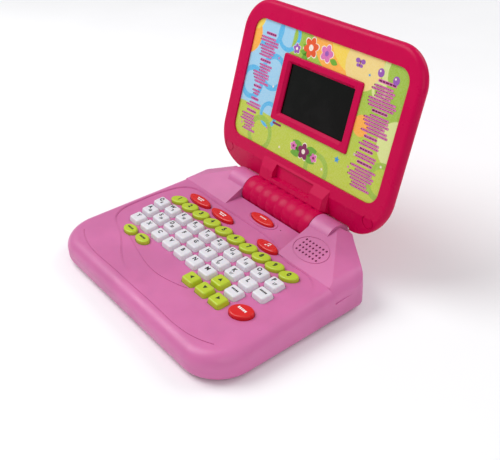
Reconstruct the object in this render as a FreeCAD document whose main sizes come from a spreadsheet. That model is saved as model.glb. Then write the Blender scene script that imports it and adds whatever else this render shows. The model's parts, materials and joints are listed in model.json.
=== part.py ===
"""Toy laptop computer: a wedge-shaped keyboard base with a screen lid on a barrel hinge.

Millimetres. The part's frame is level: +X to the user's right, +Y to the back, +Z up, with the
origin under the middle of the part's box. Two tilted frames are used inside it:
  deck frame: X across, Y up the sloping deck, Z out of the deck, zero height at the key tops;
  lid frame:  X along the hinge axis, Y up the open lid, Z out of its face, towards the user.
"""

import FreeCAD, Part
import math
import os

from FreeCAD import Placement, Rotation, Vector

os.makedirs("parts", exist_ok=True)
doc = FreeCAD.newDocument("toy_laptop")

# ---------------------------------------------------------------- driving dimensions
SIZES = {
    # base
    "deck_tilt": 4,
    "deck_origin_y": -9.3,
    "deck_origin_z": 34.2,
    "half_front": 122,
    "half_rear": 114.5,
    "front_y": -109,
    "side_rear_y": 46,
    "corner_x": 86,
    "corner_y": 63,
    "rear_x": 69,
    "rear_y": 74,
    "front_radius": 34,
    "deck_top": -3.5,
    "deck_edge_radius": 10.4,
    "seam": -17,
    "step_height": -12.5,
    "step_inset": 7.5,
    "wall": 2.8,
    "ceiling": -7.2,
    "bottom_z": 1.5,
    "floor_z": 4,
    "bottom_radius": 6,
    "tray_floor": -4.3,
    "tray_step": 0.9,
    "tray_step_depth": 0.3,
    "line_width": 0.9,
    "line_depth": 0.5,
    # rear wings
    "left_wing_start": 28,
    "left_wing_slope": 0.4,
    "right_wing_start": 14,
    "right_wing_slope": 0.28,
    "wing_facet_slope": 0.3,
    "wing_facet_x": 68,
    "wing_facet_top": 9.8,
    "wing_inner": 46,
    # hinge
    "hinge_y": 60.5,
    "hinge_height": -2,
    "barrel_radius": 14.6,
    "barrel_half": 44.8,
    "rib_count": 8,
    "rib_height": 0.75,
    "trough_radius": 15.4,
    "trough_wall": 2,
    "trough_half": 45.5,
    "knuckle_radius": 13.8,
    "knuckle_length": 23,
    "pin_radius": 4,
    "pin_reach": 14,
    "pin_clearance": 0.06,
    # speaker
    "speaker_x": 68,
    "speaker_y": 32.5,
    "grille_half_x": 19,
    "grille_half_y": 12.6,
    "grille_hole": 1.05,
    "grille_pitch": 4,
    # keys
    "row_step": 14.55,
    "cap_width": 15,
    "cap_depth": 12.6,
    "cap_corner": 2.8,
    "cap_taper": 13,
    "key_clearance": 0.35,
    "flange": 0.5,
    "flange_thick": 1,
    "flange_top": -7.5,
    "stem_radius": 2,
    "stem_bottom": -10.25,
    "cap_edge": 1.5,
    "square_drop": 0,
    "oval_drop": -0.9,
    "power_drop": -1.2,
    # lid
    "lid_angle": 72.55,
    "lid_middle": -3.4,
    "lid_half": 111.2,
    "lid_low": 9,
    "lid_high": 170,
    "lid_top_radius": 32,
    "lid_low_radius": 38,
    "lid_face": -3,
    "lid_seam": -8,
    "lid_back": -13,
    "lid_edge_radius": 4.9,
    "lid_wall": 2.2,
    "lid_hollow_low": 24,
    "bevel_high": 28.5,
    "bevel_slope": 0.316,
    "panel_middle": -1.6,
    "panel_half": 95.5,
    "panel_low": 39.5,
    "panel_high": 152,
    "panel_radius": 12,
    "panel_depth": 2,
    "bezel_half": 49.5,
    "bezel_low": 68.5,
    "bezel_high": 129.5,
    "screen_half": 40.5,
    "screen_low": 76,
    "screen_high": 122,
    "neck_half": 44.5,
    "neck_high": 34.5,
    "neck_proud": 3.9,
    "grip_half": 25,
    "bumper_x": 94,
    "bumper_y": 25.3,
}
sheet = doc.addObject("Spreadsheet::Sheet", "sizes")
for row, (alias, number) in enumerate(SIZES.items(), start=1):
    sheet.set(f"A{row}", alias)
    sheet.set(f"B{row}", str(number))
    sheet.setAlias(f"B{row}", alias)
doc.recompute()


def size(alias):
    return float(sheet.get(alias))


TILT = size("deck_tilt")
DECK = Placement(
    Vector(0, size("deck_origin_y"), size("deck_origin_z")), Rotation(Vector(1, 0, 0), TILT)
)
HINGE = DECK.multVec(Vector(0, size("hinge_y"), size("hinge_height")))
LID = Placement(HINGE, Rotation(Vector(1, 0, 0), size("lid_angle")))
LEVEL = Placement()
SUBPARTS = []


# ---------------------------------------------------------------- helpers
def new_body(name, frame):
    body = doc.addObject("PartDesign::Body", name)
    body.Label = name
    body.Placement = frame
    SUBPARTS.append(body)
    return body


def sketch(body, name, role, geometry, height="0", offset=None):
    """A sketch on one of the body's own origin planes, raised along its normal."""
    drawing = body.newObject("Sketcher::SketchObject", f"{body.Name}_{name}")
    plane = next(f for f in body.Origin.OriginFeatures if f.Role == role)
    drawing.AttachmentSupport = [(plane, "")]
    drawing.MapMode = "FlatFace"
    if offset is None:
        drawing.setExpression(".AttachmentOffset.Base.z", height)
    else:
        drawing.AttachmentOffset = offset
    for curve in geometry:
        drawing.addGeometry(curve, False)
    return drawing


def feature(body, kind, drawing, length=None, reverse=False, both=False, through=False, taper=0):
    made = body.newObject(f"PartDesign::{kind}", f"{drawing.Name}_{kind.lower()}")
    made.Profile = drawing
    made.SideType = "Symmetric" if both else "One side"
    made.Reversed = reverse
    if through:
        made.Type = "ThroughAll"
    else:
        made.setExpression("Length", length)
    if taper:
        made.setExpression("TaperAngle", taper)
    doc.recompute()
    return made


def pad(body, name, role, geometry, length, height="0", offset=None, **options):
    return feature(body, "Pad", sketch(body, name, role, geometry, height, offset), length, **options)


def pocket(body, name, role, geometry, length=None, height="0", offset=None, **options):
    before = body.Shape.Volume
    drawing = sketch(body, name, role, geometry, height, offset)
    made = feature(body, "Pocket", drawing, length, through=length is None, **options)
    if body.Shape.Volume > before - 1e-3:
        raise RuntimeError(f"{drawing.Name} cuts nothing")
    return made


def dress(body, kind, value, wanted):
    """Fillets or chamfers the edges of the body that the test picks."""
    base = body.Tip
    names = [f"Edge{n}" for n, edge in enumerate(base.Shape.Edges, start=1) if wanted(edge)]
    if not names:
        raise RuntimeError(f"{body.Name}: no edges for {kind}")
    made = body.newObject(f"PartDesign::{kind}", f"{body.Name}_{kind.lower()}")
    made.Base = (base, names)
    made.setExpression("Radius" if kind == "Fillet" else "Size", value)
    doc.recompute()
    return made


def flat_at(height):
    """Picks edges that lie whole at one height in the body's own frame."""
    return lambda edge: abs(edge.BoundBox.ZMin - height) < 1e-4 and edge.BoundBox.ZLength < 1e-4


def circle(x, y, radius):
    return Part.Circle(Vector(x, y, 0), Vector(0, 0, 1), radius)


def ellipse(x, y, half_x, half_y, turn=0.0):
    """An ellipse whose long half axis, half_x, is turned from X by turn degrees."""
    centre = Vector(x, y, 0)
    spin = Rotation(Vector(0, 0, 1), turn)
    across, along = spin.multVec(Vector(half_x, 0, 0)), spin.multVec(Vector(0, half_y, 0))
    return Part.Ellipse(centre + across, centre + along, centre)


def polygon(points):
    corners = [Vector(x, y, 0) for x, y in points]
    return [Part.LineSegment(a, b) for a, b in zip(corners, corners[1:] + corners[:1])]


def rectangle(x0, y0, x1, y1):
    return polygon([(x0, y0), (x1, y0), (x1, y1), (x0, y1)])


def rounded(points):
    """A closed outline of (x, y, radius) corners: straight runs joined by tangent arcs."""
    starts, ends, arcs = [], [], []
    count = len(points)
    for n, (x, y, radius) in enumerate(points):
        here = Vector(x, y, 0)
        back = (Vector(*points[n - 1][:2], 0) - here).normalize()
        ahead = (Vector(*points[(n + 1) % count][:2], 0) - here).normalize()
        half = back.getAngle(ahead) / 2
        reach = radius / math.tan(half)
        middle = (back + ahead).normalize() * (radius / math.sin(half) - radius)
        starts.append(here + back * reach)
        ends.append(here + ahead * reach)
        arcs.append(Part.Arc(starts[-1], here + middle, ends[-1]))
    lines = [Part.LineSegment(ends[n - 1], starts[n]) for n in range(count)]
    return [curve for pair in zip(lines, arcs) for curve in pair]


def rounded_rectangle(x0, y0, x1, y1, low_radius, high_radius=None):
    high_radius = low_radius if high_radius is None else high_radius
    corners = [(x0, y0, low_radius), (x1, y0, low_radius), (x1, y1, high_radius), (x0, y1, high_radius)]
    return rounded(corners)


def smooth(points, closed=False):
    curve = Part.BSplineCurve()
    curve.interpolate(Points=[Vector(x, y, 0) for x, y in points], PeriodicFlag=closed)
    return curve


def ribbon(points, width):
    """A thin closed strip that follows a smooth line, for an engraved line."""
    line = smooth(points)
    first, last = line.FirstParameter, line.LastParameter
    sides = ([], [])
    for n in range(len(points)):
        at = line.parameterAtDistance(line.length() * n / (len(points) - 1), first)
        tangent = line.tangent(at)[0]
        across = Vector(-tangent.y, tangent.x, 0) * (width / 2)
        sides[0].append(line.value(at) + across)
        sides[1].append(line.value(at) - across)
    curves = []
    for side in sides:
        curve = Part.BSplineCurve()
        curve.interpolate(side)
        curves.append(curve)
    ends = [Part.LineSegment(sides[0][n], sides[1][n]) for n in (0, -1)]
    return curves + ends


# ---------------------------------------------------------------- base outline
def base_outline(inset=0.0, squeeze=1.0):
    """The base in plan, with its corners (x, y, radius) moved in by the wall and y scaled."""
    side = [
        (size("half_front") - inset, size("front_y") + inset, size("front_radius") - inset),
        (size("half_rear") - inset, size("side_rear_y") - inset / 2, 8),
        (size("corner_x") - inset, size("corner_y") - inset, 4),
        (size("rear_x") - inset / 2, size("rear_y") - inset, 6),
    ]
    left = [(-x, y, radius) for x, y, radius in reversed(side)]
    return rounded([(x, y * squeeze, radius) for x, y, radius in side + left])


TRAY = [
    (-98, 16), (-88, 22.5), (-70, 23.5), (-27, 23), (10, 23), (32, 21.5), (45, 18.3), (56, 13.3),
    (88, 12), (102, 3), (105.5, -15), (106, -42), (101, -59), (88, -66), (74, -65.5), (61, -66.5),
    (47, -69), (34, -73), (24, -79.5), (12, -86.5), (-7, -89.5), (-28, -87.5), (-45, -81), (-64, -70.5),
    (-83, -63), (-99, -56), (-106, -45), (-107, -30), (-106, -8), (-103, 6),
]
WAVE = [(-68, -62), (-56, -64.6), (-30, -71), (-3, -74), (20, -70), (33, -66)]
FRONT_LINE = [(-100, -88), (-88, -95.5), (-70, -97), (0, -97), (70, -97), (88, -95.5), (100, -88)]


def tray_outline(grow=0.0):
    """The smooth edge of the tray, moved outwards by grow."""
    curve = smooth(TRAY, closed=True)
    moved = []
    for x, y in TRAY:
        tangent = curve.tangent(curve.parameter(Vector(x, y, 0)))[0]
        moved.append((x - tangent.y * grow, y + tangent.x * grow))
    return smooth(moved, closed=True)


# ---------------------------------------------------------------- keys
class Key:
    """A cap of one outline: square caps taper, ovals have their own half sizes and turn."""

    def __init__(self, x, y, half=None, turn=0.0):
        self.x, self.y, self.half, self.turn = x, y, half, turn

    def outline(self, grow=0.0):
        if self.half:
            return [ellipse(self.x, self.y, self.half[0] + grow, self.half[1] + grow, self.turn)]
        half_x, half_y = size("cap_width") / 2 + grow, size("cap_depth") / 2 + grow
        radius = size("cap_corner") + grow
        return rounded_rectangle(
            self.x - half_x, self.y - half_y, self.x + half_x, self.y + half_y, radius
        )


def key_row(names, first_x, step, row):
    return [(name, Key(first_x + step * n, -size("row_step") * row)) for n, name in enumerate(names)]


digits = [Key(-79 + 17.4 * n, 0, (8.8, 5.4), turn=21) for n in range(10)]
KEYS = {}
for n in range(0, 10, 2):
    KEYS[f"number_keys_{n + 1}_{(n + 2) % 10}"] = digits[n : n + 2]
letter_rows = (
    key_row([f"key_{c}" for c in "qwertzuiop"], -86, 18.2, 1)
    + key_row([f"key_{c}" for c in "asdfghjkl"] + ["reset_key"], -82.6, 18.2, 2)
    + key_row([f"key_{c}" for c in "yxcvbnm"] + ["arrow_up_key", "erase_key"], -79.6, 18, 3)
    + key_row(["arrow_left_key", "arrow_down_key", "arrow_right_key"], 27.4, 18.1, 4)
)
for name, key in letter_rows:
    KEYS[name] = [key]
KEYS["left_function_keys"] = [Key(-69.7, -57.8, (8.2, 5.3)), Key(-49.6, -57.8, (8.2, 5.3))]
KEYS["enter_key"] = [Key(86, -53, (10.4, 7.6), turn=25)]
KEYS["mode_keys"] = [Key(-64.4, 13.2, (15, 5)), Key(-29.8, 13.2, (15, 5))]
KEYS["music_key"] = [Key(34.5, 12.9, (12.5, 5))]
POWER = Key(0, 35, (14.6, 5.2))
KEYS["power_button"] = [POWER]


def make_keys():
    for name, keys in KEYS.items():
        body = new_body(name, DECK)
        square = keys[0].half is None
        drop = "power_drop" if name == "power_button" else "square_drop" if square else "oval_drop"
        level = f"sizes.{drop}"
        foot = f"{level} + sizes.flange_top - sizes.flange_thick"
        outlines = [curve for key in keys for curve in key.outline()]
        wide = [curve for key in keys for curve in key.outline(size("flange"))]
        pad(body, "flange", "XY_Plane", wide, "sizes.flange_thick", foot)
        if square:
            pad(body, "skirt", "XY_Plane", outlines, "sizes.tray_floor - sizes.flange_top",
                "sizes.flange_top")
            pad(body, "cap", "XY_Plane", outlines, "-sizes.tray_floor", "sizes.tray_floor",
                taper="-sizes.cap_taper")
        else:
            pad(body, "cap", "XY_Plane", outlines, "-sizes.flange_top",
                f"{level} + sizes.flange_top")
        hollow = [curve for key in keys for curve in key.outline(-2.0)]
        pocket(body, "hollow", "XY_Plane", hollow, "4", foot, reverse=True)
        stems = [circle(key.x, key.y, size("stem_radius")) for key in keys]
        pad(body, "stem", "XY_Plane", stems, "-3.8 - sizes.stem_bottom", "sizes.stem_bottom")
        dress(body, "Fillet", "sizes.cap_edge", flat_at(size(drop)))


def make_key_membrane():
    body = new_body("key_membrane", DECK)
    pad(body, "sheet", "XY_Plane", rounded_rectangle(-98, -64, 98, 20, 4), "0.9", "-13.2")
    domes = [circle(key.x, key.y, 3.2) for keys in KEYS.values() for key in keys if key is not POWER]
    pad(body, "domes", "XY_Plane", domes, "0.9", "-13.2 + 0.45")
    dress(body, "Fillet", "0.25", flat_at(-11.85))


def make_circuit_board():
    body = new_body("circuit_board", DECK)
    outline = rounded([(-98, -64, 2), (98, -64, 2), (98, 20, 2), (20, 20, 2), (20, 41.5, 2),
                       (-20, 41.5, 2), (-20, 20, 2), (-98, 20, 2)])
    pad(body, "board", "XY_Plane", outline, "1.4", "-14.7")
    pad(body, "chip", "XY_Plane", [circle(-70, -20, 7)], "1.6", "-14.7", reverse=True)
    parts = rectangle(-40, -30, -28, -22) + rectangle(60, -10, 66, -2) + rectangle(72, -10, 78, -2)
    pad(body, "components", "XY_Plane", parts, "1.6", "-14.7", reverse=True)
    pad(body, "power_switch", "XY_Plane", rectangle(-3, 32, 3, 38), "1.35", "-13.3")


# ---------------------------------------------------------------- base shells
SIDES = {-1: "left", 1: "right"}


def wing_height(side, y):
    tag = SIDES[side]
    return size("deck_top") + size(f"{tag}_wing_slope") * (y - size(f"{tag}_wing_start"))


POSTS = [(-78, -93), (78, -93), (-108, -20), (108, -20), (-98, 36), (98, 36)]
FEET = [(-92, -88), (92, -88), (-92, 38), (92, 38)]


def add_wing(body, side):
    """A wedge that rises to the hinge, cut by a facet that falls away outwards."""
    tag = SIDES[side]
    inner, rear = size("wing_inner"), size("rear_y") + 2
    start, top = size(f"{tag}_wing_start"), size("deck_top")
    wedge = polygon([(start, top), (rear, wing_height(side, rear)), (rear, size("seam")),
                     (start, size("seam"))])
    slab = f"{side} * sizes.wing_inner"
    pad(body, f"wing_{tag}", "YZ_Plane", wedge, "sizes.half_front - sizes.wing_inner", slab,
        reverse=side < 0)
    facet_x, facet_top = size("wing_facet_x"), size("wing_facet_top")
    shoulder_x = size("half_rear") - size("deck_edge_radius")
    shoulder = facet_top - size("wing_facet_slope") * (shoulder_x - facet_x)
    low, far, high = size("seam") + 1, size("half_front") + 5, size("hinge_y")
    reach = 0.7 * size("deck_edge_radius")
    turn = Vector(side * (shoulder_x + reach), shoulder - 0.4 * size("deck_edge_radius"), 0)
    start_arc = Vector(side * shoulder_x, shoulder, 0)
    end_arc = Vector(side * (size("half_rear") + 0.6), low, 0)
    facet = [Part.LineSegment(Vector(side * facet_x, facet_top, 0), start_arc),
             Part.Arc(start_arc, turn, end_arc)]
    corners = [(side * (size("half_rear") + 0.6), low), (side * far, low), (side * far, high),
               (side * (inner - 1), high), (side * (inner - 1), facet_top), (side * facet_x, facet_top)]
    corners = [Vector(x, z, 0) for x, z in corners]
    facet += [Part.LineSegment(a, b) for a, b in zip(corners, corners[1:])]
    pocket(body, f"facet_{tag}", "XZ_Plane", facet, "100", f"-sizes.{tag}_wing_start")
    hinge_y, axis = size("hinge_y"), size("hinge_height")
    swing = polygon([(hinge_y + 2, axis + 11.9), (hinge_y + 17, axis - 0.4), (hinge_y + 17, high),
                     (hinge_y + 2, high)])
    pocket(body, f"swing_{tag}", "YZ_Plane", swing, "sizes.half_front", slab, reverse=side > 0)


def make_upper_case():
    body = new_body("upper_case", DECK)
    height = "sizes.deck_top - sizes.seam"
    pad(body, "deck", "XY_Plane", base_outline(), height, "sizes.seam")
    dress(body, "Fillet", "sizes.deck_edge_radius", flat_at(size("deck_top")))
    for side in (-1, 1):
        add_wing(body, side)
    frame = rectangle(-160, -160, 160, 160)
    pocket(body, "trim", "XY_Plane", frame + base_outline(), "80", "-30", reverse=True)
    pocket(body, "hollow", "XY_Plane", base_outline(size("wall")),
           "sizes.step_height - sizes.seam", "sizes.seam", reverse=True)
    pocket(body, "upper_hollow", "XY_Plane", base_outline(size("step_inset")),
           "sizes.ceiling - sizes.step_height + 1", "sizes.step_height - 1", reverse=True)
    for side, tag in SIDES.items():
        low, rear, roof = size("ceiling") - 0.5, 44, 2.6
        first = size(f"{tag}_wing_start") + 8
        room = polygon([(first, low), (first, wing_height(side, first) - roof),
                        (rear, wing_height(side, rear) - roof), (rear, low)])
        pocket(body, f"wing_room_{tag}", "YZ_Plane", room, "32", f"{side} * 50",
               reverse=side > 0)
    hinge_y, axis = size("hinge_y"), size("hinge_height")
    shell = [circle(hinge_y, axis, size("trough_radius") + size("trough_wall"))]
    pad(body, "trough", "YZ_Plane", shell, "2 * sizes.wing_inner", both=True)
    above = rectangle(30, size("deck_top"), 120, 60)
    pocket(body, "between", "YZ_Plane", above, "2 * sizes.wing_inner", both=True)
    for side, tag in SIDES.items():
        knuckle = [circle(hinge_y, axis, size("knuckle_radius"))]
        pad(body, f"knuckle_{tag}", "YZ_Plane", knuckle, "sizes.knuckle_length",
            f"{side} * sizes.trough_half", reverse=side < 0)
    groove = [circle(hinge_y, axis, size("trough_radius"))]
    pocket(body, "groove", "YZ_Plane", groove, "2 * sizes.trough_half", both=True)
    behind = rectangle(hinge_y, -13, 120, 60)
    pocket(body, "behind", "YZ_Plane", behind, "2 * sizes.trough_half", both=True)
    bore = [circle(hinge_y, axis, size("pin_radius") + size("pin_clearance"))]
    pocket(body, "bore", "YZ_Plane", bore, "2 * (sizes.trough_half + sizes.pin_reach)", both=True)
    pocket(body, "tray_step", "XY_Plane", [tray_outline(size("tray_step"))],
           "sizes.tray_step_depth", "sizes.deck_top")
    pocket(body, "tray", "XY_Plane", [tray_outline()],
           "sizes.deck_top - sizes.tray_floor", "sizes.deck_top")
    depth = "sizes.line_depth"
    pocket(body, "wave", "XY_Plane", ribbon(WAVE, size("line_width")), depth, "sizes.tray_floor")
    pocket(body, "front_line", "XY_Plane", ribbon(FRONT_LINE, size("line_width")), depth,
           "sizes.deck_top")
    holes = [curve for keys in KEYS.values() for key in keys
             for curve in key.outline(size("key_clearance")) if key is not POWER]
    pocket(body, "key_holes", "XY_Plane", holes, "6", "sizes.tray_floor + 1")
    grow = size("key_clearance")
    ring = [ellipse(0, 35, 18, 8.3), ellipse(0, 35, 16.2, 6.6)]
    pad(body, "ring", "XY_Plane", ring, "0.6", "sizes.deck_top")
    pocket(body, "power_hole", "XY_Plane", POWER.outline(grow), "8", "sizes.deck_top + 1")
    pocket(body, "pinhole", "XY_Plane", [circle(23, 36.6, 0.6)], "2", "sizes.deck_top")
    add_grille(body)
    posts = [circle(x, y, 3.6) for x, y in POSTS]
    pad(body, "posts", "XY_Plane", posts, "sizes.ceiling - sizes.seam - 0.3", "sizes.seam + 0.3")
    for n, (x, y) in enumerate(POSTS):
        upright = Placement(Vector(x, y, size("seam")), Rotation(Vector(1, 0, 0), -TILT))
        pocket(body, f"post_bore_{n}", "XY_Plane", [circle(0, 0, 1.46)], "8.5", offset=upright,
               reverse=True)


def add_grille(body):
    """An oval groove and a diagonal grid of holes, square to the right wing's slope."""
    slope = math.degrees(math.atan(size("right_wing_slope")))
    centre = Vector(size("speaker_x"), size("speaker_y"), wing_height(1, size("speaker_y")))
    plane = Placement(centre, Rotation(Vector(1, 0, 0), slope))
    half_x, half_y = size("grille_half_x"), size("grille_half_y")
    oval = [ellipse(0, 0, half_x, half_y), ellipse(0, 0, half_x - 0.9, half_y - 0.9)]
    pocket(body, "grille_groove", "XY_Plane", oval, "sizes.line_depth", offset=plane)
    pitch = size("grille_pitch")
    holes = []
    for row in range(-3, 3):
        for column in range(-4, 5):
            x, y = column * pitch, (row + 0.5) * pitch
            if (x / (half_x - 3)) ** 2 + (y / (half_y - 3)) ** 2 <= 1:
                holes.append(circle(x, y, size("grille_hole")))
    pocket(body, "grille_holes", "XY_Plane", holes, "12", offset=plane)


def level_point(x, y, height):
    return DECK.multVec(Vector(x, y, height))


def make_lower_case():
    body = new_body("lower_case", LEVEL)
    squeeze = math.cos(math.radians(TILT))
    shift = level_point(0, 0, size("seam")).y
    plan = Placement(Vector(0, shift, size("bottom_z")), Rotation())
    outer = sketch(body, "outline", "XY_Plane", base_outline(0, squeeze), offset=plan)
    feature(body, "Pad", outer, "40")
    front, rear = level_point(0, -130, size("seam")), level_point(0, 130, size("seam"))
    above = polygon([(front.y, front.z), (rear.y, rear.z), (rear.y, 90), (front.y, 90)])
    pocket(body, "seam_cut", "YZ_Plane", above, "300", both=True)
    dress(body, "Fillet", "sizes.bottom_radius", flat_at(size("bottom_z")))
    inside = Placement(Vector(0, shift, size("floor_z")), Rotation())
    pocket(body, "hollow", "XY_Plane", base_outline(size("wall"), squeeze), "60", offset=inside,
           reverse=True)
    low, high = battery_span()
    frame = rectangle(-32, low - 1.5, 32, high + 1.5) + rectangle(-30.5, low, 30.5, high)
    pad(body, "battery_walls", "XY_Plane", frame, "10", "sizes.floor_z - 0.5")
    pocket(body, "door_hole", "XY_Plane", rounded_rectangle(-29.5, low + 1, 29.5, high - 1, 2),
           "10", "sizes.floor_z + 1")
    for n, (x, y) in enumerate(POSTS):
        foot = level_point(x, y, size("seam"))
        pad(body, f"post_{n}", "XY_Plane", [circle(x, foot.y, 4.2)], f"{foot.z - 4.3}", "3.5")
    bores = [circle(x, level_point(x, y, size("seam")).y, 1.8) for x, y in POSTS]
    pocket(body, "screw_bores", "XY_Plane", bores, "60", "-1", reverse=True)
    heads = [circle(x, level_point(x, y, size("seam")).y, 3.4) for x, y in POSTS]
    pocket(body, "screw_heads", "XY_Plane", heads, "5", "0", reverse=True)
    pads = [circle(x, level_point(x, y, size("seam")).y, 7.15) for x, y in FEET]
    pocket(body, "foot_recesses", "XY_Plane", pads, "2.5", "0", reverse=True)


def battery_span():
    """The y range of the three cells, under the hinge."""
    middle = level_point(0, 44, size("seam")).y
    return middle - 22.5, middle + 22.5


def make_battery_door():
    low, high = battery_span()
    body = new_body("battery_door", LEVEL)
    pad(body, "plate", "XY_Plane", rounded_rectangle(-29.2, low + 1.3, 29.2, high - 1.3, 1.8),
        "sizes.floor_z - sizes.bottom_z", "sizes.bottom_z")
    grip = [curve for n in range(4) for curve in rectangle(-8, low + 6 + 2.4 * n, 8, low + 7.2 + 2.4 * n)]
    pocket(body, "grip", "XY_Plane", grip, "0.6", "sizes.bottom_z", reverse=True)


def make_batteries():
    low, _ = battery_span()
    body = new_body("batteries", LEVEL)
    for n in range(3):
        y = low + 7.5 + 15 * n
        turn = 1 if n % 2 else -1
        can = [circle(y, 11.5, 7)]
        pad(body, f"cell_{n}", "YZ_Plane", can, "49", both=True)
        pad(body, f"cap_{n}", "YZ_Plane", [circle(y, 11.5, 2.7)], "1.5", f"{turn} * 24.5",
            reverse=turn < 0)


def make_battery_contacts():
    low, _ = battery_span()
    body = new_body("battery_contacts", LEVEL)
    plates = []
    for n in range(3):
        y = low + 7.5 + 15 * n
        plates.append(rectangle(y - 4, 6.5, y + 4, 16))
    for side in (-1, 1):
        for n, plate in enumerate(plates):
            pad(body, f"plate_{'r' if side > 0 else 'l'}{n}", "YZ_Plane", plate, "0.4",
                f"{side} * 29.4", reverse=side < 0)


def make_case_screws():
    body = new_body("case_screws", LEVEL)
    for n, (x, y) in enumerate(POSTS):
        foot = level_point(x, y, size("seam"))
        pad(body, f"head_{n}", "XY_Plane", [circle(x, foot.y, 3)], "2", "2.95")
        pad(body, f"shank_{n}", "XY_Plane", [circle(x, foot.y, 1.4)], f"{foot.z + 2}", "4.9")
        slot = rectangle(x - 2, foot.y - 0.4, x + 2, foot.y + 0.4)
        pocket(body, f"slot_{n}", "XY_Plane", slot, "1", "2.95", reverse=True)


def make_rubber_feet():
    body = new_body("rubber_feet", LEVEL)
    pads = [circle(x, level_point(x, y, size("seam")).y, 7) for x, y in FEET]
    pad(body, "discs", "XY_Plane", pads, "2.45")
    dress(body, "Fillet", "0.6", flat_at(0))


def make_speaker():
    body = new_body("speaker", DECK)
    x, y = size("speaker_x"), size("speaker_y") + 1
    pad(body, "frame", "XY_Plane", [circle(x, y, 13.5)], "2.2", "-10.4")
    pad(body, "magnet", "XY_Plane", [circle(x, y, 7)], "4", "-10.4", reverse=True)


def make_hinge_pins():
    body = new_body("hinge_pins", DECK)
    pin = [circle(size("hinge_y"), size("hinge_height"), size("pin_radius"))]
    for side, tag in SIDES.items():
        start = f"{side} * (sizes.barrel_half - sizes.pin_reach + 1)"
        pad(body, tag, "YZ_Plane", pin, "2 * sizes.pin_reach - 1", start, reverse=side < 0)


# ---------------------------------------------------------------- lid
def lid_outline():
    half, middle = size("lid_half"), size("lid_middle")
    return rounded_rectangle(middle - half, size("lid_low"), middle + half, size("lid_high"),
                             size("lid_low_radius"), size("lid_top_radius"))


def lid_hollow():
    """The room inside the lid: it stops above the bevel and the seat of the barrel."""
    wall = size("lid_wall")
    half, middle = size("lid_half") - wall, size("lid_middle")
    return rounded_rectangle(middle - half, size("lid_hollow_low"), middle + half,
                             size("lid_high") - wall, 30, size("lid_top_radius") - wall)


def window(half, low, high, radius, inset=0.0, middle=0.0):
    return rounded_rectangle(middle - half + inset, low + inset, middle + half - inset, high - inset,
                             radius)


LID_POSTS = [(-91, 36), (84, 36), (-91, 158), (84, 158)]


def clear_hinge(body):
    """Cuts the seat round the barrel and knuckles, and the bevel that clears the rear wings."""
    seat = [circle(0, 0, size("barrel_radius") + 0.08)]
    pocket(body, "hinge_seat", "YZ_Plane", seat, "2 * (sizes.trough_half + sizes.knuckle_length + 1.5)",
           both=True)
    high, face = size("bevel_high"), size("lid_face")
    low = size("lid_low") - 2
    bevel = polygon([(high, face), (low, face - (high - low) * size("bevel_slope")), (low, face + 9),
                     (high, face + 9)])
    for side, tag in SIDES.items():
        pocket(body, f"bevel_{tag}", "YZ_Plane", bevel, "sizes.lid_half + 5",
               f"{side} * sizes.neck_half", reverse=side > 0)


def make_lid_front():
    body = new_body("lid_front", LID)
    pad(body, "shell", "XY_Plane", lid_outline(), "sizes.lid_face - sizes.lid_seam", "sizes.lid_seam")
    dress(body, "Fillet", "sizes.lid_edge_radius", flat_at(size("lid_face")))
    half, low, high = size("bezel_half"), size("bezel_low"), size("bezel_high")
    bezel = window(half, low, high, 2)
    panel = window(size("panel_half"), size("panel_low"), size("panel_high"), size("panel_radius"),
                   middle=size("panel_middle"))
    pocket(body, "recess", "XY_Plane", panel + bezel, "sizes.panel_depth", "sizes.lid_face")
    pocket(body, "hollow", "XY_Plane", lid_hollow(), "1.4", "sizes.lid_seam", reverse=True)
    face = size("lid_face")
    top, proud = size("neck_high"), face + size("neck_proud")
    neck = polygon([(6, size("lid_seam")), (top - 1, size("lid_seam")), (top, face - 0.2),
                    (top - 9.5, proud), (6, proud)])
    pad(body, "neck", "YZ_Plane", neck, "2 * sizes.neck_half", both=True)
    half = size("neck_half")
    for side, tag in SIDES.items():
        slant = polygon([(side * (half + 0.1), face), (side * (half - 3), proud + 0.1),
                         (side * (half + 2), proud + 0.1)])
        pocket(body, f"neck_slant_{tag}", "XZ_Plane", slant, "sizes.neck_high",
               "-sizes.neck_high - 1", reverse=True)
    grip = polygon([(18.6, face + 5), (32.3, face + 5), (31.8, face - 1), (20.4, face - 1)])
    pocket(body, "grip", "YZ_Plane", grip, "2 * sizes.grip_half", both=True)
    screen = window(size("screen_half"), size("screen_low"), size("screen_high"), 1)
    pocket(body, "screen", "XY_Plane", screen, "20", "2")
    dress(body, "Chamfer", "2.4", screen_rim)
    dress(body, "Fillet", "0.9", bezel_rim)
    clear_hinge(body)
    tilt = math.degrees(math.atan(size("bevel_slope")))
    x, y = size("bumper_x"), size("bumper_y")
    depth = face - (size("bevel_high") - y) * size("bevel_slope")
    for side, tag in SIDES.items():
        seat = Placement(Vector(size("lid_middle") + side * x, y, depth), Rotation(Vector(1, 0, 0), tilt))
        ring = [circle(0, 0, 6), circle(0, 0, 5.2)]
        pocket(body, f"bumper_{tag}", "XY_Plane", ring, "0.5", offset=seat)
    posts = [circle(x, y, 3.6) for x, y in LID_POSTS]
    pad(body, "posts", "XY_Plane", posts, "2", "sizes.lid_seam + 0.2")
    bores = [circle(x, y, 1.46) for x, y in LID_POSTS]
    pocket(body, "post_bores", "XY_Plane", bores, "3.2", "sizes.lid_seam", reverse=True)


def screen_rim(edge):
    """The top edge of the opening for the screen."""
    middle = edge.CenterOfMass
    across = abs(middle.x) < size("screen_half") + 0.1
    up = size("screen_low") - 0.1 < middle.y < size("screen_high") + 0.1
    return flat_at(size("lid_face"))(edge) and across and up


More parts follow.
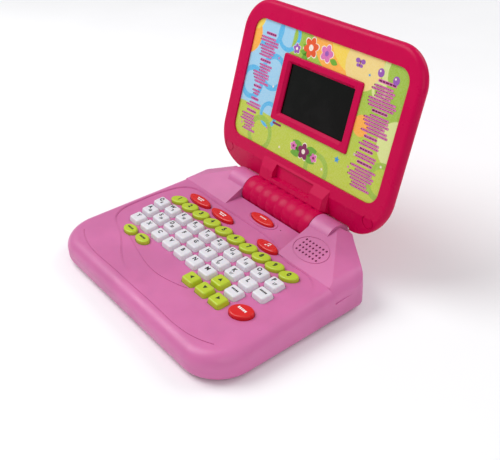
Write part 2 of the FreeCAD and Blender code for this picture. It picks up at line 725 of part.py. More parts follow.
def bezel_rim(edge):
    """The outer top edge of the raised frame round the screen."""
    box = edge.BoundBox
    flat = flat_at(size("lid_face"))(edge)
    within = box.XMin > -size("bezel_half") - 0.1 and box.XMax < size("bezel_half") + 0.1
    outside = abs(edge.CenterOfMass.x) > size("bezel_half") - 2.2 or not (
        size("bezel_low") + 1 < edge.CenterOfMass.y < size("bezel_high") - 1
    )
    return flat and within and outside and box.YMin > size("bezel_low") - 0.1


def make_lid_back():
    body = new_body("lid_back", LID)
    pad(body, "shell", "XY_Plane", lid_outline(), "sizes.lid_seam - sizes.lid_back", "sizes.lid_back")
    dress(body, "Fillet", "sizes.lid_edge_radius", flat_at(size("lid_back")))
    pocket(body, "hollow", "XY_Plane", lid_hollow(), "20", "sizes.lid_back + sizes.lid_wall",
           reverse=True)
    clear_hinge(body)
    posts = [circle(x, y, 4) for x, y in LID_POSTS]
    pad(body, "posts", "XY_Plane", posts, "2.7", "sizes.lid_back + 2")
    bores = [circle(x, y, 1.8) for x, y in LID_POSTS]
    pocket(body, "post_bores", "XY_Plane", bores, "12", "sizes.lid_back - 1", reverse=True)
    heads = [circle(x, y, 3.4) for x, y in LID_POSTS]
    pocket(body, "screw_heads", "XY_Plane", heads, "2.3", "sizes.lid_back - 0.5", reverse=True)


def make_hinge_barrel():
    """A revolved tube with rounded ribs side by side and a bore at each end for the pins."""
    body = new_body("hinge_barrel", LID)
    half, outer, step = size("barrel_half"), size("barrel_radius"), size("rib_height")
    bore = size("pin_radius") + size("pin_clearance")
    count = int(size("rib_count"))
    pitch = 2 * half / count
    valley = outer - step
    curves = []
    corners = [(-half, valley), (-half, bore), (half, bore), (half, valley)]
    points = [Vector(x, y, 0) for x, y in corners]
    curves += [Part.LineSegment(a, b) for a, b in zip(points, points[1:])]
    for n in range(count):
        right = half - n * pitch
        a, b = Vector(right, valley, 0), Vector(right - pitch, valley, 0)
        curves.append(Part.Arc(a, Vector(right - pitch / 2, outer, 0), b))
    drawing = sketch(body, "profile", "XY_Plane", curves)
    made = body.newObject("PartDesign::Revolution", "hinge_barrel_turn")
    made.Profile = drawing
    made.ReferenceAxis = (drawing, ["H_Axis"])
    made.Angle = 360
    doc.recompute()


def make_screen_parts():
    glass = new_body("screen_window", LID)
    low, high, half = size("screen_low"), size("screen_high"), size("screen_half")
    pad(glass, "plate", "XY_Plane", window(half + 3.5, low - 3.5, high + 3.5, 2), "1.1", "-8")
    module = new_body("lcd_module", LID)
    pad(module, "block", "XY_Plane", window(half + 5, low - 6, high + 6, 1), "2.6", "-10.7")
    sheet_part = new_body("graphic_panel", LID)
    gap = 0.15
    outer = window(size("panel_half"), size("panel_low"), size("panel_high"),
                   size("panel_radius") - gap, gap, size("panel_middle"))
    hole = window(size("bezel_half"), size("bezel_low"), size("bezel_high"), 2 + gap, -gap)
    pad(sheet_part, "film", "XY_Plane", outer + hole, "0.4", "sizes.lid_face - sizes.panel_depth")


def make_lid_screws():
    body = new_body("lid_screws", LID)
    for n, (x, y) in enumerate(LID_POSTS):
        pad(body, f"head_{n}", "XY_Plane", [circle(x, y, 3)], "1.5", "sizes.lid_back + 0.3")
        pad(body, f"shank_{n}", "XY_Plane", [circle(x, y, 1.4)], "6", "sizes.lid_back + 1.5")
        slot = rectangle(x - 2, y - 0.4, x + 2, y + 0.4)
        pocket(body, f"slot_{n}", "XY_Plane", slot, "0.9", "sizes.lid_back + 0.3", reverse=True)


# ---------------------------------------------------------------- build and export
make_upper_case()
make_lower_case()
make_battery_door()
make_batteries()
make_battery_contacts()
make_case_screws()
make_rubber_feet()
make_speaker()
make_hinge_pins()
make_circuit_board()
make_key_membrane()
make_keys()
make_lid_front()
make_lid_back()
make_hinge_barrel()
make_screen_parts()
make_lid_screws()
doc.recompute()

for item in doc.Objects:
    if "Invalid" in item.State or "Error" in item.State:
        raise RuntimeError(f"{item.Name} failed: {item.State}")
for body in SUBPARTS:
    if body.Shape.isNull() or not body.Shape.isValid():
        raise RuntimeError(f"{body.Name} has no valid shape")
for body in SUBPARTS:
    body.Shape.exportStep(f"parts/{body.Label}.step")
print(len(SUBPARTS), "sub-parts written")
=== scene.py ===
import json
import math
import random

import bmesh
import bpy
from mathutils import Matrix, Vector


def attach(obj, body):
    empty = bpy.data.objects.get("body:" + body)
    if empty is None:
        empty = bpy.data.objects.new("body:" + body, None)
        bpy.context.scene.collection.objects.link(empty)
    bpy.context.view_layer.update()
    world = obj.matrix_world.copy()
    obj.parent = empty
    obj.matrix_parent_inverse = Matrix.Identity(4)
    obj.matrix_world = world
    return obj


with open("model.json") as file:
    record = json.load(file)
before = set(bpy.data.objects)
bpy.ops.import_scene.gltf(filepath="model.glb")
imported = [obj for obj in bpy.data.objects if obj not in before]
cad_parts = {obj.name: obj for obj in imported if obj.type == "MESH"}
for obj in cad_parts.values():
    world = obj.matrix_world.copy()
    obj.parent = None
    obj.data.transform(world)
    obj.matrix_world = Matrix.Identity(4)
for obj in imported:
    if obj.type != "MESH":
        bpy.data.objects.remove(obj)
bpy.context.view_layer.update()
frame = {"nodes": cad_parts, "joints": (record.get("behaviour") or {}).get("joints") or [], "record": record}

MM = 0.001

# ---------------------------------------------------------------- the two tilted frames
DECK_TILT = math.radians(4)
LID_ANGLE = math.radians(72.55)
HINGE_IN_DECK = Vector((0, 60.5, -2)) * MM
hinge_joint = next(j for j in frame["joints"] if j["name"] == "lid_hinge")
HINGE = Vector(hinge_joint["pos_m"])
deck_turn = Matrix.Rotation(DECK_TILT, 4, "X")
DECK = Matrix.Translation(HINGE - deck_turn @ HINGE_IN_DECK) @ deck_turn
LID = Matrix.Translation(HINGE) @ Matrix.Rotation(LID_ANGLE, 4, "X")

# heights of the surfaces that carry print, and half the ink's thickness
CAP_TOP = 0.0
OVAL_TOP = -0.9
POWER_TOP = -1.2
FILM_TOP = -4.6
INK = 0.05


# ---------------------------------------------------------------- colour and shader helpers
def srgb(red, green, blue):
    """A colour given as 0 to 255 screen values, as the linear RGBA that shaders take."""
    linear = [(c / 255 / 12.92) if c <= 10 else ((c / 255 + 0.055) / 1.055) ** 2.4
              for c in (red, green, blue)]
    return (*linear, 1.0)


def scaled(colour, factor):
    return tuple(min(1.0, c * factor) for c in colour[:3]) + (1.0,)


class Shader:
    """A material's node tree with one Principled BSDF, and short ways to add nodes to it."""

    def __init__(self, name):
        self.material = bpy.data.materials.new(name)
        self.material.use_nodes = True
        self.nodes = self.material.node_tree.nodes
        self.links = self.material.node_tree.links
        self.surface = self.nodes["Principled BSDF"]
        self.place = self.nodes.new("ShaderNodeTexCoord").outputs["Object"]

    def put(self, value, socket):
        if isinstance(value, bpy.types.NodeSocket):
            self.links.new(value, socket)
        else:
            socket.default_value = value

    def set(self, **values):
        for name, value in values.items():
            self.put(value, self.surface.inputs[name.replace("_", " ")])

    def noise(self, scale, detail=3.0, place=None):
        node = self.nodes.new("ShaderNodeTexNoise")
        node.inputs["Scale"].default_value = scale
        node.inputs["Detail"].default_value = detail
        self.links.new(place or self.place, node.inputs["Vector"])
        return node.outputs["Fac"]

    def ramp(self, value, low, high, to_low, to_high):
        node = self.nodes.new("ShaderNodeMapRange")
        node.interpolation_type = "SMOOTHSTEP"
        for socket, number in zip(node.inputs, (value, low, high, to_low, to_high)):
            self.put(number, socket)
        return node.outputs["Result"]

    def mix(self, factor, first, second):
        node = self.nodes.new("ShaderNodeMix")
        node.data_type = "RGBA"
        colours = [socket for socket in node.inputs if socket.type == "RGBA"]
        self.put(factor, node.inputs["Factor"])
        self.put(first, colours[0])
        self.put(second, colours[1])
        return next(socket for socket in node.outputs if socket.type == "RGBA")

    def maths(self, operation, first, second=0.0):
        node = self.nodes.new("ShaderNodeMath")
        node.operation = operation
        self.put(first, node.inputs[0])
        self.put(second, node.inputs[1])
        return node.outputs["Value"]

    def split(self, vector):
        node = self.nodes.new("ShaderNodeSeparateXYZ")
        self.links.new(vector, node.inputs["Vector"])
        return node.outputs

    def in_frame(self, matrix):
        """Object coordinates turned into a tilted frame's own millimetres."""
        node = self.nodes.new("ShaderNodeMapping")
        node.vector_type = "TEXTURE"
        node.inputs["Location"].default_value = matrix.translation
        node.inputs["Rotation"].default_value = matrix.to_euler()
        node.inputs["Scale"].default_value = (MM, MM, MM)
        self.links.new(self.place, node.inputs["Vector"])
        return node.outputs["Vector"]

    def bump(self, height, strength, distance):
        node = self.nodes.new("ShaderNodeBump")
        node.inputs["Strength"].default_value = strength
        node.inputs["Distance"].default_value = distance
        self.links.new(height, node.inputs["Height"])
        self.links.new(node.outputs["Normal"], self.surface.inputs["Normal"])


def moulded(name, colour, roughness=0.38, grain=0.25, mottle=0.06, coat=0.0, glow=0.0, shine=0.5):
    """Injection-moulded plastic: slight colour drift, fine spark texture and handling wear."""
    shader = Shader(name)
    drift = shader.ramp(shader.noise(22), 0.35, 0.65, 0.0, 1.0)
    body = shader.mix(drift, scaled(colour, 1 - mottle), scaled(colour, 1 + mottle))
    scuffs = shader.ramp(shader.noise(160, detail=6), 0.62, 0.75, 0.0, 0.25)
    body = shader.mix(scuffs, body, scaled(colour, 1.05))
    sheen = shader.ramp(shader.noise(60, detail=5), 0.3, 0.7, roughness - 0.05, roughness + 0.07)
    shader.set(Base_Color=body, Roughness=sheen, Coat_Weight=coat, Coat_Roughness=0.18,
               Subsurface_Weight=glow, Subsurface_Scale=0.002, Specular_IOR_Level=shine)
    shader.bump(shader.noise(2600, detail=2), grain, 0.00004)
    return shader.material


def printed(name, colour, roughness=0.42):
    """Pad-printed ink: thin, a little uneven in density."""
    shader = Shader(name)
    density = shader.ramp(shader.noise(700, detail=4), 0.3, 0.7, 0.0, 1.0)
    shader.set(Base_Color=shader.mix(density, scaled(colour, 0.9), scaled(colour, 1.08)),
               Roughness=shader.ramp(shader.noise(400), 0.3, 0.7, roughness - 0.06, roughness + 0.06))
    shader.bump(shader.noise(1800), 0.15, 0.00002)
    return shader.material


def steel(name, colour):
    shader = Shader(name)
    stretch = shader.nodes.new("ShaderNodeMapping")
    stretch.inputs["Scale"].default_value = (60, 1800, 1800)
    shader.links.new(shader.place, stretch.inputs["Vector"])
    lines = shader.noise(1.0, detail=4, place=stretch.outputs["Vector"])
    shader.set(Base_Color=shader.mix(lines, scaled(colour, 0.8), scaled(colour, 1.1)), Metallic=1.0,
               Roughness=shader.ramp(lines, 0.3, 0.7, 0.28, 0.45))
    shader.bump(lines, 0.2, 0.00002)
    return shader.material


def rubber(name, colour):
    shader = Shader(name)
    dust = shader.ramp(shader.noise(120, detail=6), 0.5, 0.75, 0.0, 0.4)
    shader.set(Base_Color=shader.mix(dust, colour, scaled(colour, 1.8)),
               Roughness=shader.ramp(shader.noise(90), 0.3, 0.7, 0.7, 0.9))
    shader.bump(shader.noise(1500), 0.4, 0.00006)
    return shader.material


PINK = srgb(202, 106, 160)
RASPBERRY = srgb(196, 0, 72)
WHITE = srgb(222, 220, 226)
LIME = srgb(180, 200, 40)
RED = srgb(214, 8, 12)
BLACK = srgb(24, 20, 22)

FINISH = {
    "light_pink_shell": moulded("pink shell", PINK, roughness=0.36, glow=0.05),
    "raspberry_shell": moulded("raspberry shell", RASPBERRY, roughness=0.3, mottle=0.03, shine=0.12),
    "white_key": moulded("white key", WHITE, roughness=0.3, grain=0.12, mottle=0.02, glow=0.06),
    "lime_key": moulded("lime key", LIME, roughness=0.32, grain=0.12, mottle=0.03, glow=0.06),
    "red_key": moulded("red key", RED, roughness=0.3, grain=0.12, mottle=0.03, glow=0.04),
    "dark_plastic": moulded("dark plastic", srgb(38, 38, 42), roughness=0.5),
    "board": moulded("circuit board", srgb(30, 96, 58), roughness=0.45, mottle=0.15),
    "membrane": rubber("key membrane", srgb(190, 188, 186)),
    "foot_rubber": rubber("rubber foot", srgb(42, 40, 42)),
    "screw_metal": steel("zinc screw", srgb(176, 176, 182)),
    "contact_metal": steel("contact strip", srgb(205, 200, 190)),
    "cell_jacket": moulded("cell jacket", srgb(40, 44, 110), roughness=0.25, coat=0.5),
}


def screen_finish():
    """A clear window over a dark display: near black, with painted light that makes it a shade lighter and
    greener towards one corner, a painted reflection on the glass.
    """
    shader = Shader("screen window")
    across, up, _ = shader.split(shader.in_frame(LID))
    # painted reflection: a diagonal gradient that lights the window a shade lighter and greener towards one
    # corner
    slant = shader.maths("ADD", shader.maths("MULTIPLY", across, -0.5), up)
    drift = shader.ramp(slant, 60, 140, 0.0, 1.0)
    smudge = shader.ramp(shader.noise(55, detail=5), 0.45, 0.75, 0.0, 0.35)
    tint = shader.mix(drift, srgb(8, 6, 5), srgb(4, 8, 5))
    shader.set(Base_Color=shader.mix(smudge, tint, srgb(12, 11, 10)),
               Roughness=shader.ramp(shader.noise(55, detail=5), 0.4, 0.7, 0.12, 0.24),
               Specular_IOR_Level=0.2)
    shader.bump(shader.noise(300), 0.05, 0.00002)
    return shader.material


FINISH["screen_tint"] = screen_finish()


# ---------------------------------------------------------------- the printed film's background
def disc(shader, place, centre, radius, inner=0.0, edge=0.35):
    """1 inside a circle, or in a ring when inner is given, with a soft printed edge."""
    node = shader.nodes.new("ShaderNodeVectorMath")
    node.operation = "DISTANCE"
    shader.links.new(place, node.inputs[0])
    node.inputs[1].default_value = (*centre, FILM_TOP)
    distance = node.outputs["Value"]
    mask = shader.ramp(distance, radius - edge, radius + edge, 1.0, 0.0)
    if inner:
        hole = shader.ramp(distance, inner - edge, inner + edge, 0.0, 1.0)
        mask = shader.maths("MULTIPLY", mask, hole)
    return mask


def film_finish():
    """Yellow-green print with a sky-blue side, warm corners and bubbles, in the lid's frame."""
    shader = Shader("printed film")
    place = shader.in_frame(LID)
    across, up, _ = shader.split(place)
    lime, leaf = srgb(186, 202, 50), srgb(150, 186, 44)
    sky, blue = srgb(150, 202, 232), srgb(72, 176, 226)
    orange, yellow, peach = srgb(246, 168, 48), srgb(240, 206, 66), srgb(236, 208, 128)
    pale = srgb(212, 222, 140)

    wobble = shader.maths("MULTIPLY", shader.noise(28, detail=1), 26)
    colour = shader.mix(shader.ramp(up, 40, 150, 0.0, 1.0), lime, leaf)
    side = shader.maths("SUBTRACT", across, wobble)
    left = shader.ramp(side, -56, -54, 1.0, 0.0)
    above = shader.ramp(shader.maths("SUBTRACT", up, wobble), 58, 60, 0.0, 1.0)
    colour = shader.mix(shader.maths("MULTIPLY", left, above), colour, sky)
    layers = (
        ((-78, 146), 20, 15, blue), ((-78, 146), 11, 0, sky), ((-50, 145), 15, 11, blue),
        ((-60, 108), 17, 12, blue), ((-86, 92), 16, 11, blue), ((-54, 70), 12, 8, blue),
        ((-104, 134), 18, 0, orange), ((-98, 152), 12, 0, yellow),
        ((20, 168), 44, 0, orange), ((34, 166), 34, 0, yellow), ((44, 143), 21, 0, peach),
        ((90, 146), 26, 20, pale), ((84, 116), 22, 0, leaf), ((96, 92), 19, 0, pale),
        ((92, 60), 16, 11, leaf), ((66, 128), 8, 5, pale), ((57, 96), 9, 0, orange),
        ((-60, 50), 17, 12, leaf), ((20, 44), 15, 10, leaf),
    )
    for centre, radius, inner, tint in layers:
        colour = shader.mix(disc(shader, place, centre, radius, inner), colour, tint)
    dots = shader.ramp(shader.noise(900, detail=2), 0.35, 0.65, 0.0, 0.10)
    shader.set(Base_Color=shader.mix(dots, colour, srgb(250, 246, 220)),
               Roughness=shader.ramp(shader.noise(50, detail=5), 0.3, 0.7, 0.3, 0.42),
               Coat_Weight=0.1, Coat_Roughness=0.2)
    shader.bump(shader.noise(1400), 0.08, 0.00002)
    return shader.material


FINISH["printed_film"] = film_finish()


def finish_frame():
    """Every CAD node takes its slot's finish."""
    slots = {part["node"]: part["material_slot"] for part in frame["record"]["subparts"]}
    for name, node in frame["nodes"].items():
        node.data.materials.clear()
        node.data.materials.append(FINISH[slots[name]])


# ---------------------------------------------------------------- printed marks
class Print:
    """Marks in one ink on one body: thin raised shapes, gathered into one mesh."""

    def __init__(self, name, body, slot, ink, matrix, level):
        self.name, self.body, self.slot = name, body, slot
        self.ink, self.matrix, self.level = ink, matrix, level
        self.mesh = bmesh.new()

    def shape(self, points, lift=0.0):
        """A closed outline of (x, y) points as a thin prism."""
        base, top = self.level + lift - INK, self.level + lift + INK
        rings = []
        for height in (base, top):
            rings.append([self.mesh.verts.new(self.matrix @ (Vector((x, y, height)) * MM))
                          for x, y in points])
        count = len(points)
        self.mesh.faces.new(rings[1])
        self.mesh.faces.new(rings[0][::-1])
        for n in range(count):
            after = (n + 1) % count
            self.mesh.faces.new((rings[0][n], rings[0][after], rings[1][after], rings[1][n]))

    def letters(self, text, x, y, size, lift=0.0, bold=0.045):
        """Characters of the built-in font, centred on (x, y)."""
        curve = bpy.data.curves.new(self.name, "FONT")
        curve.body, curve.size = text, size * MM
        curve.align_x, curve.align_y = "CENTER", "CENTER"
        curve.extrude, curve.offset = INK * MM, bold * size * MM
        curve.resolution_u = 4
        holder = bpy.data.objects.new(self.name, curve)
        mesh = bpy.data.meshes.new_from_object(holder)
        place = Vector((x, y, self.level + lift)) * MM
        mesh.transform(self.matrix @ Matrix.Translation(place))
        self.mesh.from_mesh(mesh)
        bpy.data.objects.remove(holder)
        bpy.data.meshes.remove(mesh)

    def bars(self, x, y, widths, height, gap):
        """A row of small blocks, centred on (x, y), that stands where a word was."""
        total = sum(widths) + gap * (len(widths) - 1)
        left = x - total / 2
        for width in widths:
            self.shape(box_points(left, y - height / 2, left + width, y + height / 2))
            left += width + gap

    def finish(self):
        bmesh.ops.recalc_face_normals(self.mesh, faces=self.mesh.faces)
        data = bpy.data.meshes.new(self.name)
        self.mesh.to_mesh(data)
        self.mesh.free()
        data.materials.append(self.ink)
        piece = bpy.data.objects.new(self.name, data)
        bpy.context.scene.collection.objects.link(piece)
        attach(piece, self.body)
        return piece


def box_points(x0, y0, x1, y1):
    return [(x0, y0), (x1, y0), (x1, y1), (x0, y1)]


def pill(x0, y0, x1, y1, steps=5):
    """A bar with round ends."""
    radius = (y1 - y0) / 2
    middle = (y0 + y1) / 2
    points = []
    for centre, start in ((x1 - radius, -90), (x0 + radius, 90)):
        for n in range(steps + 1):
            angle = math.radians(start + 180 * n / steps)
            points.append((centre + radius * math.cos(angle), middle + radius * math.sin(angle)))
    return points


def ring_points(x, y, half_x, half_y, count=32):
    return [(x + half_x * math.cos(math.tau * n / count), y + half_y * math.sin(math.tau * n / count))
            for n in range(count)]


def petals(x, y, radius, count, depth=0.35, turn=0.0, steps=10):
    """A flower outline: the radius swells once for each petal."""
    points = []
    for n in range(count * steps):
        angle = math.tau * n / (count * steps)
        swell = radius * (1 - depth + depth * abs(math.cos(angle * count / 2)))
        points.append((x + swell * math.cos(angle + turn), y + swell * math.sin(angle + turn)))
    return points


def star_points(x, y, outer, inner, count=5, turn=math.pi / 2):
    points = []
    for n in range(2 * count):
        radius = outer if n % 2 == 0 else inner
        angle = turn + math.pi * n / count
        points.append((x + radius * math.cos(angle), y + radius * math.sin(angle)))
    return points


def arrow_points(x, y, size, turn):
    """A triangle that points up when turn is 0."""
    corners = [(0, 1.0), (-1.05, -0.75), (1.05, -0.75)]
    cosine, sine = math.cos(turn), math.sin(turn)
    return [(x + size * (a * cosine - b * sine), y + size * (a * sine + b * cosine))
            for a, b in corners]


BLACK_INK = printed("black ink", BLACK)
WHITE_INK = printed("white ink", srgb(238, 232, 232))

# where the keys stand on the deck: first key, step and row of each run
ROW_STEP = 14.55
DIGIT_FIRST, DIGIT_STEP = -79, 17.4
UPPER_FIRST, MIDDLE_FIRST, LOWER_FIRST = -86, -82.6, -79.6
UPPER_STEP, LOWER_STEP = 18.2, 18
ARROW_FIRST, ARROW_STEP = 27.4, 18.1
FUNCTION_KEYS_X, FUNCTION_KEYS_Y = (-69.7, -49.6), -57.4
MODE_KEYS_X, MODE_KEYS_Y = (-64.4, -29.8), 13.2
ENTER_KEY = (85.8, -51.8)
FIRST_GAME = 8
MAIN_SIZE, SMALL_SIZE, DIGIT_SIZE = 5.2, 3.6, 5.6


def key_print(node, ink=BLACK_INK, slot="white_key", level=CAP_TOP):
    return Print(f"{node}_legend", node, slot, ink, DECK, level)


def letter_legends():
    """One letter on each letter key; the two rear rows also carry a small game number."""
    rows = (("qwertzuiop", UPPER_FIRST, UPPER_STEP, 1), ("asdfghjkl", MIDDLE_FIRST, UPPER_STEP, 2),
            ("yxcvbnm", LOWER_FIRST, LOWER_STEP, 3))
    game = FIRST_GAME
    for letters, first, step, row in rows:
        for n, letter in enumerate(letters):
            x, y = first + step * n, -ROW_STEP * row
            marks = key_print(f"key_{letter}")
            numbered = row == 1 or (row == 2 and n < 3)
            if numbered:
                marks.letters(letter.upper(), x - 2.3, y + 1.6, MAIN_SIZE)
                marks.letters(str(game), x + 2.0, y - 1.6, SMALL_SIZE)
                game += 1
            else:
                marks.letters(letter.upper(), x - 0.8, y + 1.0, MAIN_SIZE)
            if row == 2 and letter in "jk":
                for line in range(3):
                    width = 3.4 - 0.5 * line
                    marks.bars(x + 0.6, y - 2.4 - 0.9 * line, (width * 0.6, width * 0.4), 0.45, 0.3)
            marks.finish()


def number_legends():
    for n in range(0, 10, 2):
        node = f"number_keys_{n + 1}_{(n + 2) % 10}"
        marks = key_print(node, slot="lime_key", level=OVAL_TOP)
        for digit in (n, n + 1):
            marks.letters(str((digit + 1) % 10), DIGIT_FIRST + DIGIT_STEP * digit, 0.4, DIGIT_SIZE, bold=0.05)
        marks.finish()


def word_legends():
    """Blocks, arrows and a note stand where the words were."""
    for node, x, y in (("reset_key", MIDDLE_FIRST + UPPER_STEP * 9, -2 * ROW_STEP),
                       ("erase_key", LOWER_FIRST + LOWER_STEP * 8, -3 * ROW_STEP)):
        marks = key_print(node)
        marks.bars(x, y + 1.1, (1.1, 1.3, 1.1, 1.3, 1.1), 1.7, 0.45)
        marks.finish()
    arrows = (("arrow_up_key", LOWER_FIRST + LOWER_STEP * 7, -3 * ROW_STEP, 0),
              ("arrow_left_key", ARROW_FIRST, -4 * ROW_STEP, 90),
              ("arrow_down_key", ARROW_FIRST + ARROW_STEP, -4 * ROW_STEP, 180),
              ("arrow_right_key", ARROW_FIRST + ARROW_STEP * 2, -4 * ROW_STEP, 270))
    for node, x, y, turn in arrows:
        marks = key_print(node, slot="lime_key")
        marks.shape(arrow_points(x, y + 0.4, 1.9, math.radians(turn)))
        marks.finish()
    marks = key_print("left_function_keys", slot="lime_key", level=OVAL_TOP)
    for x in FUNCTION_KEYS_X:
        marks.bars(x, FUNCTION_KEYS_Y, (1.2, 1.4, 1.1, 1.3, 1.2), 1.8, 0.4)
    marks.finish()
    marks = key_print("enter_key", WHITE_INK, "red_key", OVAL_TOP)
    marks.bars(*ENTER_KEY, (1.4, 1.6, 1.3, 1.5, 1.5), 2, 0.5)
    marks.finish()
    marks = key_print("mode_keys", WHITE_INK, "red_key", OVAL_TOP)
    for x in MODE_KEYS_X:
        marks.bars(x, MODE_KEYS_Y + 1.1, (2.6, 1.8, 3.2), 1.1, 0.6)
        marks.bars(x + 0.5, MODE_KEYS_Y - 0.8, (3.4, 2.4), 1.1, 0.6)
    marks.finish()
    marks = key_print("music_key", WHITE_INK, "red_key", OVAL_TOP)
    marks.shape(ring_points(33.2, 12.2, 0.9, 0.7, 16))
    marks.shape(ring_points(36.0, 12.9, 0.9, 0.7, 16))
    marks.shape(box_points(33.75, 12.3, 34.1, 15.2))
    marks.shape(box_points(36.55, 13.0, 36.9, 15.9))
    marks.shape([(33.75, 14.6), (36.9, 15.3), (36.9, 16.1), (33.75, 15.4)], lift=0.01)
    marks.finish()
    marks = key_print("power_button", WHITE_INK, "red_key", POWER_TOP)
    marks.bars(0, 36, (1.4, 1.6, 0.6, 1.4, 1.5), 1.1, 0.4)
    marks.finish()


# ---------------------------------------------------------------- the printed panel's artwork
PANEL_INKS = {
    "pink": printed("pink panel ink", srgb(216, 112, 176)),
    "plum": printed("plum panel ink", srgb(128, 18, 84)),
    "cream": printed("cream panel ink", srgb(240, 228, 214)),
    "orange": printed("orange panel ink", srgb(228, 84, 32)),
    "green": printed("green panel ink", srgb(104, 168, 44)),
    "purple": printed("purple panel ink", srgb(150, 84, 176)),
    "blue": printed("blue panel ink", srgb(60, 150, 214)),
}
BAR_HEIGHT, BAR_PITCH, RIM = 1.75, 2.7, 0.2

TEXT_BLOCKS = (
    # middle x, top, rows of bars, widest bar
    (-74, 140, 7, 26), (-74, 115, 7, 26), (-77, 90, 2, 20), (-77, 78, 2, 21), (-78, 66, 6, 25),
    (72, 136, 7, 31), (72, 112, 6, 31), (70, 90, 2, 28), (69, 79, 2, 26), (71, 68, 7, 29),
)


def text_blocks(inks):
    """Headings over staggered bars: blocks of print with no words in them."""
    draw = random.Random(7)
    for x, top, rows, widest in TEXT_BLOCKS:
        heading = widest * draw.uniform(0.5, 0.66)
        inks["pink"].shape(pill(x - heading / 2, top - 1.4, x + heading / 2, top + 1.4))
        inks["plum"].bars(x, top, [heading * share for share in (0.16, 0.13, 0.18, 0.14, 0.16)], 1.5, 0.6)
        for row in range(rows):
            middle = top - 3.0 - BAR_PITCH * (row + 0.5)
            left = x - widest / 2 + draw.uniform(0, 8)
            right = x + widest / 2 - draw.uniform(0, 8)
            low, high = middle - BAR_HEIGHT / 2, middle + BAR_HEIGHT / 2
            inks["plum"].shape(pill(left - RIM, low - RIM, right + RIM, high + RIM), lift=-0.02)
            inks["pink"].shape(pill(left, low, right, high), lift=0.01)
            inks["plum"].shape(ring_points(left - 0.4, middle, 0.7, 0.7, 12), lift=0.03)
            at = left + 1.2
            while at < right - 2.5:
                word = draw.uniform(1.0, 3.2)
                inks["plum"].shape(box_points(at, middle - 0.26, min(at + word, right - 1), middle + 0.26),
                                   lift=0.03)
                at += word + 0.7


def flower(inks, x, y, radius, count, petal, heart, turn=0.0):
    inks["cream"].shape(petals(x, y, radius * 1.12, count, turn=turn), lift=0.01)
    inks[petal].shape(petals(x, y, radius, count, turn=turn), lift=0.04)
    inks[heart].shape(ring_points(x, y, radius * 0.3, radius * 0.3, 20), lift=0.07)


def leaf(inks, x, y, length, turn):
    """A pointed leaf from (x, y) outwards."""
    side = [(length * n / 8, 0.26 * length * math.sin(math.pi * n / 8)) for n in range(9)]
    outline = side + [(a, -b) for a, b in side[-2:0:-1]]
    cosine, sine = math.cos(turn), math.sin(turn)
    inks["green"].shape([(x + a * cosine - b * sine, y + a * sine + b * cosine) for a, b in outline],
                        lift=0.025)


def panel_art():
    inks = {name: Print(f"panel_print_{name}", "lid", "printed_film", ink, LID, FILM_TOP)
            for name, ink in PANEL_INKS.items()}
    text_blocks(inks)
    # flowers above the screen, where the panel is open
    for n in range(3):
        leaf(inks, -20, 136, 12, math.radians(150 + 35 * n))
    leaf(inks, 5, 137, 10, math.radians(-10))
    flower(inks, -20, 141, 9.2, 6, "orange", "cream", 0.3)
    flower(inks, 0, 141, 7.6, 5, "pink", "purple", 0.1)
    flower(inks, -37, 136, 4.6, 5, "purple", "cream", 0.5)
    # a small butterfly of four petals
    for turn, size in ((35, 6), (145, 6), (-40, 4.2), (-140, 4.2)):
        angle = math.radians(turn)
        centre = (39 + size * 0.6 * math.cos(angle), 143 + size * 0.6 * math.sin(angle))
        inks["purple"].shape(ring_points(*centre, size * 0.42, size * 0.34, 18), lift=0.03)
    inks["plum"].shape(ring_points(39, 143, 0.5, 3.2, 16), lift=0.06)
    # two balloons over the right column
    for x, y in ((63, 142), (80, 140)):
        inks["purple"].shape(ring_points(x, y, 3.4, 3.6, 24), lift=0.03)
        inks["cream"].shape(ring_points(x - 1, y + 1.1, 0.9, 0.9, 12), lift=0.06)
    # a spray of three flowers under the screen
    for turn in (160, 200, -20, 20):
        leaf(inks, 1, 53.5, 17, math.radians(turn))
    flower(inks, 1, 53.5, 7.4, 5, "plum", "cream", math.pi / 2)
    flower(inks, -12.5, 54.5, 4.2, 5, "pink", "plum", 0.4)
    flower(inks, 14.5, 52.5, 4.2, 5, "pink", "plum", 0.8)
    inks["blue"].shape(star_points(41, 61, 3.2, 1.5), lift=0.03)
    inks["plum"].shape(pill(-46, 64.4, -34, 66.4), lift=0.03)
    draw = random.Random(3)
    for x, y in ((-88, 52), (-52, 58), (27, 47), (-30, 47), (55, 60), (52, 137), (-57, 122), (88, 72),
                 (58, 72), (-56, 96)):
        name = draw.choice(("pink", "blue", "cream"))
        inks[name].shape(star_points(x, y, 1.5, 0.7, 5, draw.uniform(0, 1)), lift=0.03)
    for ink in inks.values():
        ink.finish()


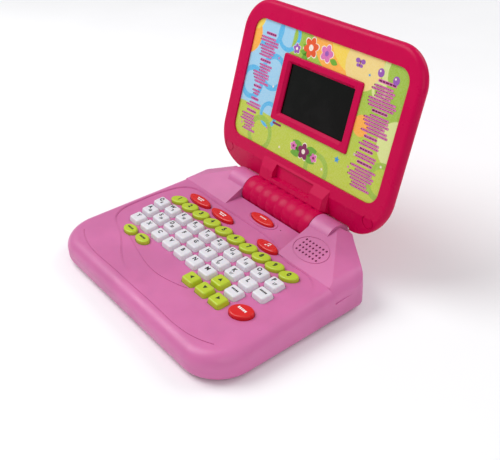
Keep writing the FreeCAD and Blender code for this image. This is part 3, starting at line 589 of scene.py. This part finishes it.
# ---------------------------------------------------------------- studio
def floor():
    shader = Shader("pale floor")
    drift = shader.ramp(shader.noise(3), 0.3, 0.7, 0.0, 1.0)
    shader.set(Base_Color=shader.mix(drift, srgb(244, 244, 245), srgb(248, 248, 249)), Roughness=0.8)
    mesh = bpy.data.meshes.new("floor")
    reach, rise, bend = 6.0, 3.0, 1.2
    profile = [(-reach, 0.0)]
    profile += [(reach - bend + bend * math.sin(a), bend - bend * math.cos(a))
                for a in (math.pi / 2 * n / 12 for n in range(13))]
    profile.append((reach, rise))
    verts = [(x, y, z) for y, z in profile for x in (-reach, reach)]
    faces = [(2 * n, 2 * n + 1, 2 * n + 3, 2 * n + 2) for n in range(len(profile) - 1)]
    mesh.from_pydata(verts, [], faces)
    mesh.materials.append(shader.material)
    plane = bpy.data.objects.new("floor", mesh)
    bpy.context.scene.collection.objects.link(plane)


def area_light(name, place, aim, size, power, tint=(1, 1, 1)):
    data = bpy.data.lights.new(name, "AREA")
    data.shape, data.size, data.energy, data.color = "DISK", size, power, tint
    light = bpy.data.objects.new(name, data)
    light.location = place
    light.rotation_euler = (Vector(aim) - Vector(place)).to_track_quat("-Z", "Y").to_euler()
    bpy.context.scene.collection.objects.link(light)


def lights():
    aim = (0, 0, 0.06)
    area_light("key light", (-0.7, -0.5, 1.2), aim, 1.1, 14)
    area_light("fill light", (1.4, -0.5, 0.9), aim, 1.4, 6)
    area_light("back light", (0.3, 1.3, 1.2), aim, 1.2, 9)
    world = bpy.data.worlds.new("studio")
    world.use_nodes = True
    background = world.node_tree.nodes["Background"]
    background.inputs["Color"].default_value = srgb(250, 250, 252)
    background.inputs["Strength"].default_value = 0.45
    bpy.context.scene.world = world
    bpy.context.scene.view_settings.view_transform = "Standard"


CAMERA_AZIMUTH, CAMERA_ELEVATION, CAMERA_ROLL = 52.61, 28.39, -1.18
CAMERA_PLACE = (0.4714, -0.3384, 0.3955)
FOCAL_LENGTH = 57.2
SHIFT = (-0.016, -0.1)


def camera():
    azimuth, elevation = math.radians(CAMERA_AZIMUTH), math.radians(CAMERA_ELEVATION)
    back = Vector((math.sin(azimuth) * math.cos(elevation), -math.cos(azimuth) * math.cos(elevation),
                   math.sin(elevation)))
    turn = back.to_track_quat("Z", "Y").to_matrix().to_4x4()
    roll = Matrix.Rotation(math.radians(CAMERA_ROLL), 4, "Z")
    data = bpy.data.cameras.new("camera")
    data.lens, data.sensor_width = FOCAL_LENGTH, 36
    data.shift_x, data.shift_y = SHIFT
    data.clip_start = 0.01
    eye = bpy.data.objects.new("camera", data)
    eye.matrix_world = Matrix.Translation(CAMERA_PLACE) @ turn @ roll
    bpy.context.scene.collection.objects.link(eye)
    bpy.context.scene.camera = eye


finish_frame()
letter_legends()
number_legends()
word_legends()
panel_art()
floor()
lights()
camera()

bpy.context.view_layer.update()
